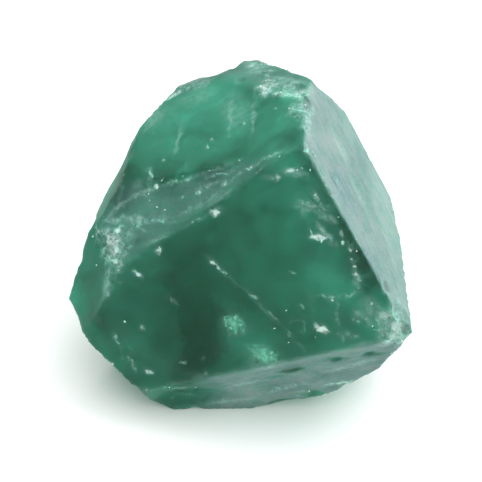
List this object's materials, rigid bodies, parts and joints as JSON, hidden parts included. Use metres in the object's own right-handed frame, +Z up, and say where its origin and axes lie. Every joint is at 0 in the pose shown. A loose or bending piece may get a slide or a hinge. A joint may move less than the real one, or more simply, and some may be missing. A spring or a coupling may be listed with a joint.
{
  "type": "raw emerald crystal",
  "caption": "Rough chunk of translucent green gem crystal with flat broken faces, chipped edges and shell-shaped hollows, resting on a flat face.",
  "frame": {"origin": "middle of the footprint of the stone's overall box, on the surface that the stone rests on", "axes": "+Z up from the flat foot face, +X along the widest extent to the pale right-hand face, +Y away from the broad dark front face"},
  "size_m": [0.0386, 0.0326, 0.0341],
  "materials": {
    "emerald": "translucent green crystal, satin broken faces with frosted patches and white chips"
  },
  "bodies": {
    "root": {"emerald_crystal": "emerald"}
  },
  "joints": []
}
